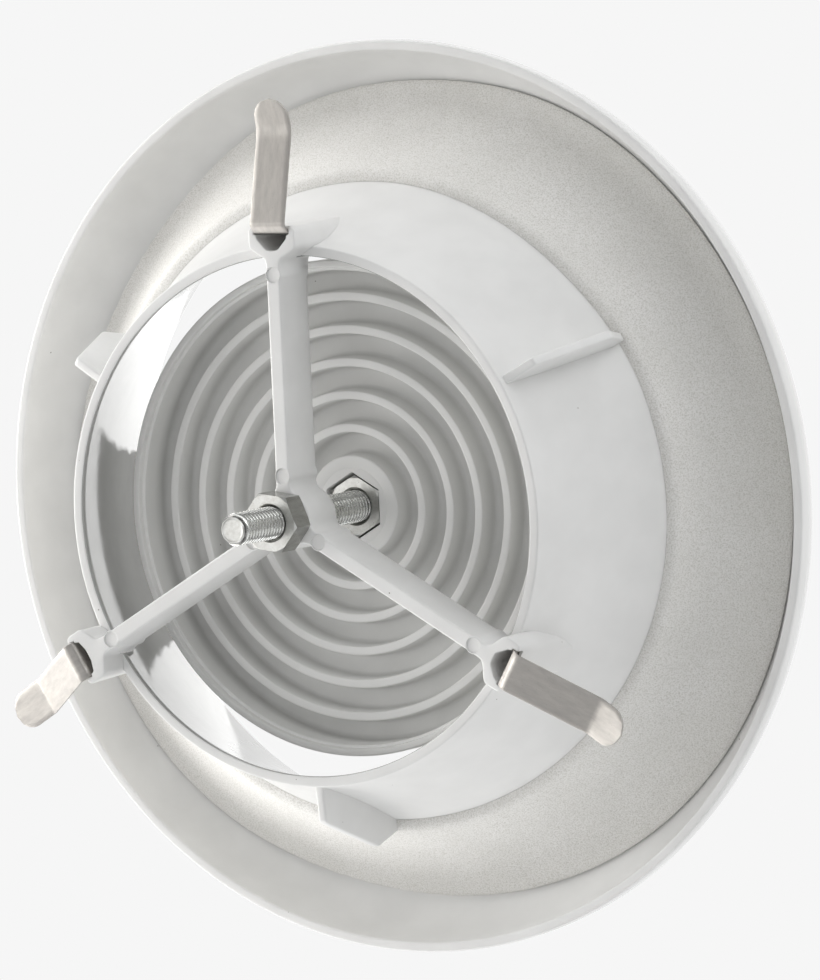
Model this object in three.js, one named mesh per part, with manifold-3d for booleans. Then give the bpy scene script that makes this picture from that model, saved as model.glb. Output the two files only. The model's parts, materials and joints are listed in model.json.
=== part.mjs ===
// Round plastic disc valve for a ceiling outlet on a 125 mm duct, in millimetres.
// The origin is the centre of the plane where the flange meets the ceiling.
// +Z points up into the duct, along the valve's axis; +Y points along spoke 1.
import * as THREE from "three";
import { mergeVertices } from "three/addons/utils/BufferGeometryUtils.js";
import Module from "manifold-3d";

const wasm = await Module();
wasm.setup();

// Driving dimensions.
const ROUND_STEPS = 60; // sides of the moulded body and the foam ring
const DISC_STEPS = 48; // sides of the disc, fewer because its profile has many more points
const SMALL_STEPS = 24; // sides of the bores and the stud

const SPOKES = 3;
const FIRST_SPOKE = Math.PI / 2;

const WALL = 1.9; // moulded wall thickness
const LIP_R = 84; // outer radius of the flange, where it meets the ceiling
const LIP_WIDTH = 1.9;
const LIP_HEIGHT = 2.4; // straight band at the flange's edge
const NOSE = { r: 73.5, z: -12.9 }; // lowest ring of the flange
const TROUGH_Z = NOSE.z + 2; // bottom of the trough inside the flange
const MOUTH = { r: 60.5, z: -8.5 }; // where the rounded nose becomes the bell's cone
const RIM_R = 49.1; // outer radius of the collar at its upper rim
const RIM_Z = 34;
const SEAT = { r: 58.06, z: 8.4 }; // where the collar's cone meets the foam ring

const HUB_R = 5.3;
const HUB_TOP_Z = 40.3;
const HUB_LENGTH = 8.1;
const SPOKE_WIDTH = 2.8;
const SPOKE_FOOT_WIDTH = 3.4; // width at the lower edge, with the mould's draft
const SPOKE_DEPTH = 9.4;

const POCKET_R = 52.9; // outer face of a clip pocket
const POCKET_HALF_WIDTH = 4.9;
const POCKET_BOTTOM_Z = 19;
const POCKET_LIP_Z = 38.8; // the pocket's outer wall is lower than its ears
const SLOT = { r: 51.9, width: 7.4, gap: 0.9, bottom: 28.5 };
const HOLLOW_R = 2.9;
const HOLLOW_BOTTOM_Z = 30;

const GUSSET_THICKNESS = 1.7;

const FOAM_EDGE = { r: 74.6, z: -8.9 }; // outer edge of the foam's face
const FOAM_GAP = 0.3;

const DISC_R = 45.3;
const DISC_TOP_Z = 19.7;
const DISC_FRONT_Z = 8.4;
const DISC_FLOOR_Z = 11.85;
const DISC_RIM_INNER_R = 43.4;
const RIB_TOP_Z = 16.3;
const RIB_COUNT = 5;
const RIB_FIRST_R = 15.2; // outer radius of the smallest ring
const RIB_PITCH = 6;
const RIB_WIDTH = 1.55;
const RIB_DRAFT = 0.35;
const BOSS_R = 9.4;

const STUD_R = 3; // M6
const STUD_TOP_Z = 58;
const STUD_LENGTH = 46.5;
const STUD_CHAMFER = 0.6;
const BORE_R = 3.12;
const NUT_FLATS = 10;
const NUT_HEIGHT = 5;
const NUT_CHAMFER = 0.5;
const LOCK_NUT_Z = HUB_TOP_Z + 0.1;
const LOCK_NUT_TURN = THREE.MathUtils.degToRad(-8);
const POCKET_NUT_Z = 10.6;
const NUT_POCKET_FLATS = 10.6;
const NUT_POCKET_Z = 10.5;
const NUT_POCKET_TURN = Math.PI / 6; // a corner points along spoke 1

const CLIP_WIDTH = 7;
const CLIP_THICKNESS = 0.5;
const CLIP_FOOT_BOTTOM_Z = 29.5;
const CLIP_HINGE_Z = 40.3;
const CLIP_HINGE_GAP = 0.2; // from the flexing line to the foot and to the leaf
const CLIP_ROOT = { out: 1.35, up: 1.15 }; // from the flexing line to the first bend
const CLIP_LEAF_LENGTH = 17.2;
const CLIP_TIP_LENGTH = 6.8;
const CLIP_LEAF_DROP = THREE.MathUtils.degToRad(13.5);
const CLIP_TIP_RISE = THREE.MathUtils.degToRad(14.5);
// Each spring is bent by hand, so each leaf starts at a slightly different angle.
const CLIP_SET = [0, 4, 21].map(THREE.MathUtils.degToRad);

// Materials.
function whitePlastic(name, roughness) {
  return new THREE.MeshStandardMaterial({ name, color: 0xe9e8e6, roughness, metalness: 0 });
}

function foam() {
  return new THREE.MeshStandardMaterial({ name: "foam", color: 0xd8d6d2, roughness: 0.95, metalness: 0 });
}

function zincPlate() {
  return new THREE.MeshStandardMaterial({ name: "zinc", color: 0xb9bab6, roughness: 0.35, metalness: 1 });
}

function springSteel() {
  return new THREE.MeshStandardMaterial({ name: "spring", color: 0xaaa7a2, roughness: 0.4, metalness: 1 });
}

// Shapes and solids.
function solid(geometry) {
  const bare = geometry.clone();
  bare.deleteAttribute("normal");
  bare.deleteAttribute("uv");
  const merged = mergeVertices(bare, 1e-4);
  return new wasm.Manifold(
    new wasm.Mesh({
      numProp: 3,
      vertProperties: new Float32Array(merged.attributes.position.array),
      triVerts: new Uint32Array(merged.index.array),
    }),
  );
}

function geometryOf(manifold) {
  const mesh = manifold.getMesh();
  const geometry = new THREE.BufferGeometry();
  geometry.setAttribute("position", new THREE.BufferAttribute(mesh.vertProperties, 3));
  geometry.setIndex(new THREE.BufferAttribute(mesh.triVerts, 1));
  geometry.computeVertexNormals();
  return geometry;
}

// Turns an outline of (radius, height) points about the Z axis. The outline may run either way round.
function turned(points, steps = ROUND_STEPS) {
  const ordered = THREE.ShapeUtils.isClockWise(points) ? [...points].reverse() : points;
  return new THREE.LatheGeometry(ordered, steps).rotateX(Math.PI / 2);
}

// Extrudes an outline in the (radius, height) plane, centred on the plane of angle zero.
function radialPlate(shape, thickness) {
  return new THREE.ExtrudeGeometry(shape, { depth: thickness, bevelEnabled: false, curveSegments: 6 })
    .translate(0, 0, -thickness / 2)
    .rotateX(Math.PI / 2);
}

// Extrudes an outline in the XY plane from one height to another.
function upright(shape, bottom, top, curveSegments = 8) {
  return new THREE.ExtrudeGeometry(shape, { depth: top - bottom, bevelEnabled: false, curveSegments })
    .translate(0, 0, bottom);
}

function outline(points) {
  return new THREE.Shape(points.map(([x, y]) => new THREE.Vector2(x, y)));
}

function hexagon(acrossFlats) {
  const cornerR = acrossFlats / Math.sqrt(3);
  return outline(
    Array.from({ length: 6 }, (_, i) => [
      cornerR * Math.cos((i * Math.PI) / 3),
      cornerR * Math.sin((i * Math.PI) / 3),
    ]),
  );
}

function spokeAngle(i) {
  return FIRST_SPOKE - (i * 2 * Math.PI) / SPOKES;
}

function aroundAxis(geometry, angle) {
  return geometry.clone().rotateZ(angle);
}

// The moulded body.
// The flared seat that the foam ring lies on, from the collar's cone to the bottom of the trough.
function seatCurve() {
  return new THREE.CubicBezierCurve(
    new THREE.Vector2(SEAT.r, SEAT.z),
    new THREE.Vector2(60.9, 1),
    new THREE.Vector2(63.4, TROUGH_Z),
    new THREE.Vector2(NOSE.r, TROUGH_Z),
  );
}

// The surface seen from the duct: collar cone, foam seat, trough and the flange's inner wall.
function bodyUpperCurves(path) {
  path.moveTo(RIM_R, RIM_Z);
  path.quadraticCurveTo(52.3, 21.2, SEAT.r, SEAT.z);
  path.add(seatCurve());
  path.currentPoint.set(NOSE.r, TROUGH_Z);
  path.bezierCurveTo(78.5, TROUGH_Z, 81.6, -6, LIP_R - LIP_WIDTH, -0.6);
  path.lineTo(LIP_R - LIP_WIDTH + 0.4, 0);
}

// The bell mouth, from the nose up to the collar's rim.
function bellCurves(path) {
  path.bezierCurveTo(63, NOSE.z, 61.6, -11.5, MOUTH.r, MOUTH.z);
  path.quadraticCurveTo(50.9, 18, RIM_R - WALL, RIM_Z);
}

// The surface seen from the room: flange edge, nose and bell mouth.
function bodyLowerCurves(path) {
  path.lineTo(LIP_R - 0.3, 0);
  path.lineTo(LIP_R, -0.3);
  path.lineTo(LIP_R, -LIP_HEIGHT);
  path.bezierCurveTo(83, -7, 79.5, NOSE.z, NOSE.r, NOSE.z);
  bellCurves(path);
}

function shell() {
  const path = new THREE.Path();
  bodyUpperCurves(path);
  bodyLowerCurves(path);
  path.lineTo(RIM_R, RIM_Z);
  return turned(path.getPoints(5));
}

// The air space inside the collar and the bell mouth, which the clip pockets must not enter.
function airSpace() {
  const path = new THREE.Path();
  path.moveTo(0, NOSE.z);
  path.lineTo(NOSE.r, NOSE.z);
  bellCurves(path);
  path.lineTo(RIM_R - WALL, HUB_TOP_Z - SPOKE_DEPTH);
  path.lineTo(0, HUB_TOP_Z - SPOKE_DEPTH);
  return turned(path.getPoints(5));
}

// A spoke from the hub to its clip pocket, along +X, with its pocket's flared end.
function spoke() {
  const bottom = HUB_TOP_Z - SPOKE_DEPTH;
  const section = outline([
    [-SPOKE_WIDTH / 2, HUB_TOP_Z],
    [-SPOKE_FOOT_WIDTH / 2, bottom],
    [SPOKE_FOOT_WIDTH / 2, bottom],
    [SPOKE_WIDTH / 2, HUB_TOP_Z],
  ]);
  const length = RIM_R - HUB_R;
  const bar = new THREE.ExtrudeGeometry(section, { depth: length, bevelEnabled: false })
    .rotateX(Math.PI / 2)
    .rotateZ(Math.PI / 2)
    .translate(HUB_R - 1, 0, 0);
  const flare = new THREE.Shape();
  flare.moveTo(44.6, -SPOKE_WIDTH / 2);
  flare.quadraticCurveTo(47.2, -SPOKE_WIDTH / 2 - 0.3, 48.4, -POCKET_HALF_WIDTH + 0.4);
  flare.lineTo(48.4, POCKET_HALF_WIDTH - 0.4);
  flare.quadraticCurveTo(47.2, SPOKE_WIDTH / 2 + 0.3, 44.6, SPOKE_WIDTH / 2);
  return solid(bar).add(solid(upright(flare, RIM_Z - 2, HUB_TOP_Z, 4)));
}

// The pocket that holds a clip's foot: a block on the collar's outside with ears round the slot.
function clipPocket(air) {
  const half = POCKET_HALF_WIDTH;
  const block = new THREE.Shape();
  block.moveTo(47.6, -half + 0.4);
  block.lineTo(50, -half);
  block.lineTo(POCKET_R - 1, -half);
  block.quadraticCurveTo(POCKET_R, -half, POCKET_R, -half + 1);
  block.lineTo(POCKET_R, half - 1);
  block.quadraticCurveTo(POCKET_R, half, POCKET_R - 1, half);
  block.lineTo(50, half);
  block.lineTo(47.6, half - 0.4);
  const slot = new THREE.BoxGeometry(SLOT.gap, SLOT.width, HUB_TOP_Z - SLOT.bottom + 1)
    .translate(SLOT.r, 0, (HUB_TOP_Z + SLOT.bottom + 1) / 2);
  const notch = new THREE.BoxGeometry(2, SLOT.width, 2)
    .translate(SLOT.r + 1, 0, POCKET_LIP_Z + 1);
  const halfRound = new THREE.Shape();
  halfRound.moveTo(SLOT.r, -HOLLOW_R);
  halfRound.lineTo(SLOT.r, HOLLOW_R);
  halfRound.absarc(SLOT.r, 0, HOLLOW_R, Math.PI / 2, (3 * Math.PI) / 2, false);
  return {
    body: solid(upright(block, POCKET_BOTTOM_Z, HUB_TOP_Z, 3)).subtract(air),
    cuts: [solid(slot), solid(notch), solid(upright(halfRound, HOLLOW_BOTTOM_Z, HUB_TOP_Z + 1))],
  };
}

// A fin on the cone that centres the collar in the duct.
function gusset() {
  const shape = outline([
    [48.3, RIM_Z - 1.2],
    [55.6, RIM_Z - 2.2],
    [61.4, 15],
    [59.6, SEAT.z + 1.2],
    [57, SEAT.z + 1.2],
    [54.4, 16],
    [51.2, 24],
    [48.6, 31],
  ]);
  return radialPlate(shape, GUSSET_THICKNESS);
}

function valveBody() {
  const hubBottom = HUB_TOP_Z - HUB_LENGTH;
  const air = solid(airSpace());
  const pocket = clipPocket(air);
  const arm = spoke();
  let body = solid(shell()).add(
    solid(new THREE.CylinderGeometry(HUB_R, HUB_R, HUB_LENGTH, 2 * SMALL_STEPS)
      .rotateX(Math.PI / 2)
      .translate(0, 0, hubBottom + HUB_LENGTH / 2)),
  );
  for (let i = 0; i < SPOKES; i++) {
    const degrees = THREE.MathUtils.radToDeg(spokeAngle(i));
    body = body.add(arm.rotate([0, 0, degrees])).add(pocket.body.rotate([0, 0, degrees]));
    body = body.add(solid(aroundAxis(gusset(), spokeAngle(i) - Math.PI / SPOKES)));
    for (const cut of pocket.cuts) body = body.subtract(cut.rotate([0, 0, degrees]));
  }
  const bore = new THREE.CylinderGeometry(BORE_R, BORE_R, HUB_LENGTH + 4, SMALL_STEPS)
    .rotateX(Math.PI / 2)
    .translate(0, 0, hubBottom + HUB_LENGTH / 2);
  return geometryOf(body.subtract(solid(bore)));
}

// The foam ring that lies on the flared seat and seals against the ceiling.
function foamRing() {
  const seat = seatCurve();
  const steps = 6;
  const underside = Array.from({ length: steps + 1 }, (_, i) => {
    const along = seat.getTangent(i / steps);
    return seat.getPoint(i / steps).add(new THREE.Vector2(-along.y, along.x).multiplyScalar(FOAM_GAP));
  });
  const face = new THREE.Path();
  face.moveTo(FOAM_EDGE.r, FOAM_EDGE.z);
  face.bezierCurveTo(69, -5.6, 64, -0.6, SEAT.r + 2.2, SEAT.z - 0.9);
  face.quadraticCurveTo(SEAT.r + 1.2, SEAT.z + 0.6, underside[0].x, underside[0].y);
  return turned([...underside, ...face.getPoints(5)]);
}

// The centre disc: a shallow dish with ring ribs and a boss with a hexagonal pocket.
function discProfile() {
  const path = new THREE.Path();
  path.moveTo(0, DISC_FRONT_Z);
  path.quadraticCurveTo(26, DISC_FRONT_Z, DISC_R - 3, DISC_FRONT_Z + 1.6);
  path.quadraticCurveTo(DISC_R, DISC_FRONT_Z + 1.9, DISC_R, DISC_FRONT_Z + 5.2);
  path.lineTo(DISC_R, DISC_TOP_Z - 0.4);
  path.lineTo(DISC_R - 0.4, DISC_TOP_Z);
  path.lineTo(DISC_RIM_INNER_R + 0.6, DISC_TOP_Z);
  path.lineTo(DISC_RIM_INNER_R + 0.5, DISC_TOP_Z - 1.1);
  path.lineTo(DISC_RIM_INNER_R, DISC_TOP_Z - 1.2);
  path.lineTo(DISC_RIM_INNER_R - 0.3, DISC_FLOOR_Z);
  for (let i = RIB_COUNT - 1; i >= 0; i--) {
    const outer = RIB_FIRST_R + i * RIB_PITCH;
    path.lineTo(outer + RIB_DRAFT, DISC_FLOOR_Z);
    path.lineTo(outer, RIB_TOP_Z);
    path.lineTo(outer - RIB_WIDTH, RIB_TOP_Z);
    path.lineTo(outer - RIB_WIDTH - RIB_DRAFT, DISC_FLOOR_Z);
  }
  path.lineTo(BOSS_R + RIB_DRAFT, DISC_FLOOR_Z);
  path.lineTo(BOSS_R, RIB_TOP_Z);
  path.lineTo(0, RIB_TOP_Z);
  return path.getPoints(4);
}

function centreDisc() {
  const pocket = upright(hexagon(NUT_POCKET_FLATS), NUT_POCKET_Z, RIB_TOP_Z + 1).rotateZ(NUT_POCKET_TURN);
  return geometryOf(solid(turned(discProfile(), DISC_STEPS)).subtract(solid(pocket)));
}

// Fasteners.
function stud() {
  const bottom = STUD_TOP_Z - STUD_LENGTH;
  const points = [
    [0, bottom],
    [STUD_R - STUD_CHAMFER, bottom],
    [STUD_R, bottom + STUD_CHAMFER],
    [STUD_R, STUD_TOP_Z - STUD_CHAMFER],
    [STUD_R - STUD_CHAMFER, STUD_TOP_Z],
    [0, STUD_TOP_Z],
  ].map(([r, z]) => new THREE.Vector2(r, z));
  return turned(points, SMALL_STEPS);
}

// A hexagonal nut, its corners taken off by a turned blank, with a plain bore.
function nut(bottom) {
  const cornerR = NUT_FLATS / Math.sqrt(3);
  const blank = [
    [0, bottom],
    [cornerR - 2 * NUT_CHAMFER, bottom],
    [cornerR, bottom + NUT_CHAMFER],
    [cornerR, bottom + NUT_HEIGHT - NUT_CHAMFER],
    [cornerR - 2 * NUT_CHAMFER, bottom + NUT_HEIGHT],
    [0, bottom + NUT_HEIGHT],
  ].map(([r, z]) => new THREE.Vector2(r, z));
  const bore = new THREE.CylinderGeometry(BORE_R, BORE_R, NUT_HEIGHT + 4, SMALL_STEPS)
    .rotateX(Math.PI / 2)
    .translate(0, 0, bottom + NUT_HEIGHT / 2);
  const prism = solid(upright(hexagon(NUT_FLATS), bottom, bottom + NUT_HEIGHT));
  return geometryOf(prism.intersect(solid(turned(blank, 2 * SMALL_STEPS))).subtract(solid(bore)));
}

// Spring clips, modelled along +X: the foot in the pocket and the leaf beyond the flexing line.
function clipFoot() {
  const height = CLIP_HINGE_Z - CLIP_HINGE_GAP - CLIP_FOOT_BOTTOM_Z;
  return new THREE.BoxGeometry(CLIP_THICKNESS, CLIP_WIDTH, height)
    .translate(SLOT.r, 0, CLIP_FOOT_BOTTOM_Z + height / 2);
}

// The leaf's centre line as (out, up) offsets from the flexing line.
function leafLine() {
  const bend1 = new THREE.Vector2(CLIP_ROOT.out, CLIP_ROOT.up);
  const along = new THREE.Vector2(Math.cos(CLIP_LEAF_DROP), -Math.sin(CLIP_LEAF_DROP));
  const bend2 = bend1.clone().addScaledVector(along, CLIP_LEAF_LENGTH);
  const rise = new THREE.Vector2(Math.cos(CLIP_TIP_RISE), Math.sin(CLIP_TIP_RISE));
  const tip = bend2.clone().addScaledVector(rise, CLIP_TIP_LENGTH);
  return [new THREE.Vector2(0.1, CLIP_HINGE_GAP + 0.1), bend1, bend2, tip];
}

// A strip's side outline: its centre line thickened by half the thickness to each side.
function thickened(line, thickness) {
  const side = (sign) =>
    line.map((point, i) => {
      const before = line[Math.max(i - 1, 0)];
      const after = line[Math.min(i + 1, line.length - 1)];
      const inward = point.clone().sub(before).normalize();
      const outward = after.clone().sub(point).normalize();
      const along = inward.add(outward).normalize();
      return new THREE.Vector2(-along.y, along.x).multiplyScalar((sign * thickness) / 2).add(point);
    });
  return new THREE.Shape([...side(-1), ...side(1).reverse()]);
}

function clipLeaf(set) {
  const side = solid(radialPlate(thickened(leafLine(), CLIP_THICKNESS), CLIP_WIDTH));
  const reach = CLIP_ROOT.out + CLIP_LEAF_LENGTH + CLIP_TIP_LENGTH;
  const half = CLIP_WIDTH / 2;
  const end = leafLine()[3].x;
  const plan = new THREE.Shape();
  plan.moveTo(-1, -half - 1);
  plan.lineTo(end - half, -half - 1);
  plan.lineTo(end - half, -half);
  plan.absarc(end - half, 0, half, -Math.PI / 2, Math.PI / 2, false);
  plan.lineTo(end - half, half + 1);
  plan.lineTo(-1, half + 1);
  const rounded = side.intersect(solid(upright(plan, -reach, reach)));
  return geometryOf(rounded).rotateY(set).translate(SLOT.r, 0, CLIP_HINGE_Z);
}

// Assembly.
function piece(name, geometry, material) {
  const mesh = new THREE.Mesh(geometry, material);
  mesh.name = name;
  return mesh;
}

const valve = new THREE.Group();
valve.add(piece("valve_body", valveBody(), whitePlastic("body", 0.4)));
valve.add(piece("foam_seal_ring", foamRing(), foam()));
valve.add(piece("centre_disc", centreDisc(), whitePlastic("disc", 0.45)));
const pocketNut = piece("pocket_nut", nut(POCKET_NUT_Z), zincPlate());
pocketNut.rotation.z = NUT_POCKET_TURN;
valve.add(pocketNut);
valve.add(piece("threaded_stud", stud(), zincPlate()));
const lockNut = piece("lock_nut", nut(LOCK_NUT_Z), zincPlate());
lockNut.rotation.z = LOCK_NUT_TURN;
valve.add(lockNut);

CLIP_SET.forEach((set, i) => {
  const clip = new THREE.Group();
  clip.rotation.z = spokeAngle(i);
  clip.add(piece(`clip_foot_${i + 1}`, clipFoot(), springSteel()));
  clip.add(piece(`clip_leaf_${i + 1}`, clipLeaf(set), springSteel()));
  valve.add(clip);
});

export default valve;
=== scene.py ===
"""Looks of a round plastic disc valve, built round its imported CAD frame. Outlines are in millimetres."""
import json
import math

import bmesh
import bpy
import numpy as np
from mathutils import Matrix, Vector, noise


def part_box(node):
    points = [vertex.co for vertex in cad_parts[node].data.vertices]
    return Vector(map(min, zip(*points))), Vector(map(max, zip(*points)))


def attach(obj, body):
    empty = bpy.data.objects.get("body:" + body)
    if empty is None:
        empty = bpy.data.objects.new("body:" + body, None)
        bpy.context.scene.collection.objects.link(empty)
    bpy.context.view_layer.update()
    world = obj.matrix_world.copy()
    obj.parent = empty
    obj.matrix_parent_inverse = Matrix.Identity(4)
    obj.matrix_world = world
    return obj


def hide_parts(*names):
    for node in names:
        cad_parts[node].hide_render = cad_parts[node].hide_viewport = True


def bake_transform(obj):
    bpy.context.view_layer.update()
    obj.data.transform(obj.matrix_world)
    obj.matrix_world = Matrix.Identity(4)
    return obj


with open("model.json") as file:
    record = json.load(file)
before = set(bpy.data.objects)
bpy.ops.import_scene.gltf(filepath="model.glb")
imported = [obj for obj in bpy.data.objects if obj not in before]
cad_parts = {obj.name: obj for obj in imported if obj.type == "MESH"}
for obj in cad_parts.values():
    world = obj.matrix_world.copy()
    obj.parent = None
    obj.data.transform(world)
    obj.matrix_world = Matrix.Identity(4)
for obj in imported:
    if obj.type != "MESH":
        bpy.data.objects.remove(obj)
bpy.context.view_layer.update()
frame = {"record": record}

MM = 0.001
TURN = 2 * math.pi


def box_mm(node):
    low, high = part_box(node)
    return low / MM, high / MM


# Driving dimensions, from the frame.
body_low, body_high = box_mm("valve_body")
disc_low, disc_high = box_mm("centre_disc")
stud_low, stud_high = box_mm("threaded_stud")
lock_low, lock_high = box_mm("lock_nut")
pocket_nut_low, pocket_nut_high = box_mm("pocket_nut")
foot_low = box_mm("clip_foot_1")[0]

LIP_R = body_high.x
NOSE_Z = body_low.z
HUB_TOP = body_high.z
DISC_R = disc_high.x
DISC_TOP = disc_high.z
DISC_FRONT = disc_low.z
STUD_R = stud_high.x

# Sizes of the moulding that the frame's boxes don't give.
ROUND = 288  # sides of the large turned shapes
WALL = 1.9
LIP_WIDTH = 1.9
NOSE_R = 73.5
TROUGH_Z = NOSE_Z + 2
RIM_R = 49.1
RIM_Z = 34.0
SEAT = (58.06, 8.4)  # where the collar's cone becomes the foam ring's seat
MOUTH = (60.5, -8.5)  # where the rounded nose becomes the bell's cone

HUB_R = 5.3
HUB_LENGTH = 8.1
BORE_R = 3.12
SPOKE_HALF = 1.4
SPOKE_DEPTH = 9.4
SPOKE_FILLET = 2.2
DRAFT = 0.032  # outward per millimetre of depth
EDGE = 0.35  # rounding of the moulded edges
SPOKES = 3
PIN_R = 1.42
PIN_DEPTH = 0.3
PIN_PLACES = (7.9, 44.2)  # distances from the axis of each spoke's ejector pads
PAD_R = 1.62

POCKET_R = 52.9
POCKET_HALF = 4.9
SLOT_R = 51.9
SLOT_HALF = 3.7
SLOT_GAP = 0.9
SLOT_BOTTOM = 28.5
HOLLOW_R = (48.6, 48.8, 50.1)  # how near to the axis each pocket's hollow comes
POCKET_LIP = 38.8

FIN_THICKNESS = 1.7

RIB_TOP = 16.3
RIB_COUNT = 5
RIB_FIRST_R = 15.2
RIB_PITCH = 6.0
RIB_WIDTH = 1.55
FLOOR_Z = 11.85
BOSS_R = 9.4

THREAD_PITCH = 1.0
THREAD_DEPTH = 0.61
NUT_FLATS = 10.0
NUT_POCKET_FLATS = 10.9
NUT_BEVEL = math.radians(24)

CLIP_HALF = 3.62
CLIP_THICKNESS = 0.5


# Curves. A point is (x, y) or (radius, height).
def quadratic(a, b, c, steps=16):
    t = np.linspace(0, 1, steps + 1)[:, None]
    a, b, c = map(np.array, (a, b, c))
    return [tuple(p) for p in (1 - t) ** 2 * a + 2 * t * (1 - t) * b + t ** 2 * c]


def cubic(a, b, c, d, steps=24):
    t = np.linspace(0, 1, steps + 1)[:, None]
    a, b, c, d = map(np.array, (a, b, c, d))
    points = (1 - t) ** 3 * a + 3 * t * (1 - t) ** 2 * b + 3 * t ** 2 * (1 - t) * c + t ** 3 * d
    return [tuple(p) for p in points]


def filleted(corners, steps=5, closed=True):
    """The outline through (x, y, radius) corners, with each corner replaced by an arc of its radius."""
    points = []
    count = len(corners)
    for i, (x, y, radius) in enumerate(corners):
        here = Vector((x, y))
        if radius <= 0 or (not closed and i in (0, count - 1)):
            points.append((x, y))
            continue
        before = (Vector(corners[i - 1][:2]) - here).normalized()
        after = (Vector(corners[(i + 1) % count][:2]) - here).normalized()
        half = before.angle(after) / 2
        centre = here + (before + after).normalized() * (radius / math.sin(half))
        start = here + before * (radius / math.tan(half)) - centre
        sweep = start.angle_signed(here + after * (radius / math.tan(half)) - centre)
        for k in range(steps + 1):
            arm = Matrix.Rotation(-sweep * k / steps, 2) @ start
            points.append(tuple(centre + arm))
    return points


def ring_points(radius, count=40, centre=(0, 0)):
    return [
        (centre[0] + radius * math.cos(TURN * i / count), centre[1] + radius * math.sin(TURN * i / count))
        for i in range(count)
    ]


def ring_at(radius, count, z):
    return [(x, y, z) for x, y in ring_points(radius, count)]


def offset(points, distance):
    """A closed outline moved outwards by distance along its corner normals."""
    p = np.array(points, float)
    ahead = np.roll(p, -1, 0) - p
    ahead /= np.linalg.norm(ahead, axis=1)[:, None]
    normal = np.stack([ahead[:, 1], -ahead[:, 0]], 1)
    before = np.roll(normal, 1, 0)
    mitre = normal + before
    mitre /= np.maximum((mitre * normal).sum(1), 0.4)[:, None]
    area = (p[:, 0] * np.roll(p[:, 1], -1) - p[:, 1] * np.roll(p[:, 0], -1)).sum()
    return p + mitre * distance * (1 if area > 0 else -1)


# Meshes.
def made(name, points, faces):
    mesh = bpy.data.meshes.new(name)
    mesh.from_pydata([tuple(c * MM for c in p) for p in points], [], faces)
    mesh.validate()
    piece = bpy.data.objects.new(name, mesh)
    bpy.context.collection.objects.link(piece)
    return piece


def outward(piece):
    """Turns the faces of a closed mesh outwards."""
    shape = bmesh.new()
    shape.from_mesh(piece.data)
    bmesh.ops.remove_doubles(shape, verts=shape.verts, dist=1e-7)
    bmesh.ops.dissolve_degenerate(shape, dist=1e-7, edges=shape.edges)
    bmesh.ops.recalc_face_normals(shape, faces=shape.faces)
    shape.to_mesh(piece.data)
    shape.free()
    return piece


def turned(name, profile, steps=ROUND):
    """Turns a closed (radius, height) outline about the axis. Points at radius 0 become one point each."""
    points, rows = [], []
    for r, z in profile:
        if r < 1e-6:
            rows.append([len(points)] * steps)
            points.append((0, 0, z))
        else:
            rows.append(range(len(points), len(points) + steps))
            points += ring_at(r, steps, z)
    faces = []
    for a, b in zip(rows, rows[1:] + rows[:1]):
        for k in range(steps):
            n = (k + 1) % steps
            corners = list(dict.fromkeys([a[k], a[n], b[n], b[k]]))
            if len(corners) > 2:
                faces.append(corners)
    return outward(made(name, points, faces))


def stacked(name, outline, levels, angle=0.0, shape=None):
    """A solid whose section at each (height, outward offset) level is the outline, moved by that offset."""
    rotate = np.array([[math.cos(angle), math.sin(angle)], [-math.sin(angle), math.cos(angle)]])
    count = len(outline)
    points = []
    for z, out in levels:
        section = offset(outline, out)
        if shape:
            section = shape(section, z)
        points += [(x, y, z) for x, y in section @ rotate]
    faces = [list(range(count)), list(range(len(points) - count, len(points)))]
    for level in range(len(levels) - 1):
        for k in range(count):
            n = (k + 1) % count
            low, high = level * count, (level + 1) * count
            faces.append([low + k, low + n, high + n, high + k])
    return outward(made(name, points, faces))


def rounding(height, radius, sign, steps=4):
    """Levels of a rounded edge at a height. sign is 1 at the top of a solid and -1 at its bottom."""
    levels = []
    for k in range(steps + 1):
        a = math.pi / 2 * k / steps
        levels.append((height - sign * radius * (1 - math.sin(a)), -radius * (1 - math.cos(a))))
    return levels if sign > 0 else levels[::-1]


def combine(piece, other, operation):
    """Joins or cuts two closed meshes, and removes the second."""
    step = piece.modifiers.new("combine", "BOOLEAN")
    step.operation = operation
    step.object = other
    step.solver = "MANIFOLD"
    graph = bpy.context.evaluated_depsgraph_get()
    result = bpy.data.meshes.new_from_object(piece.evaluated_get(graph))
    piece.modifiers.clear()
    piece.data = result
    bpy.data.objects.remove(other)
    return piece


def union(piece, *others):
    for other in others:
        combine(piece, other, "UNION")
    return piece


def cut(piece, *others):
    for other in others:
        combine(piece, other, "DIFFERENCE")
    return piece


def finished(piece, body, nodes, materials, sharp=32):
    """Smooths the shading, sets the materials and ties the piece to the frame.

    A face keeps its material index, which is its place in materials.
    """
    mesh = piece.data
    mesh.polygons.foreach_set("use_smooth", [True] * len(mesh.polygons))
    mesh.set_sharp_from_angle(angle=math.radians(sharp))
    indices = [face.material_index for face in mesh.polygons]
    mesh.materials.clear()
    for material in materials:
        mesh.materials.append(material)
    mesh.polygons.foreach_set("material_index", indices)
    if body:
        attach(piece, body)
    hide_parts(*nodes)
    return piece


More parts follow.
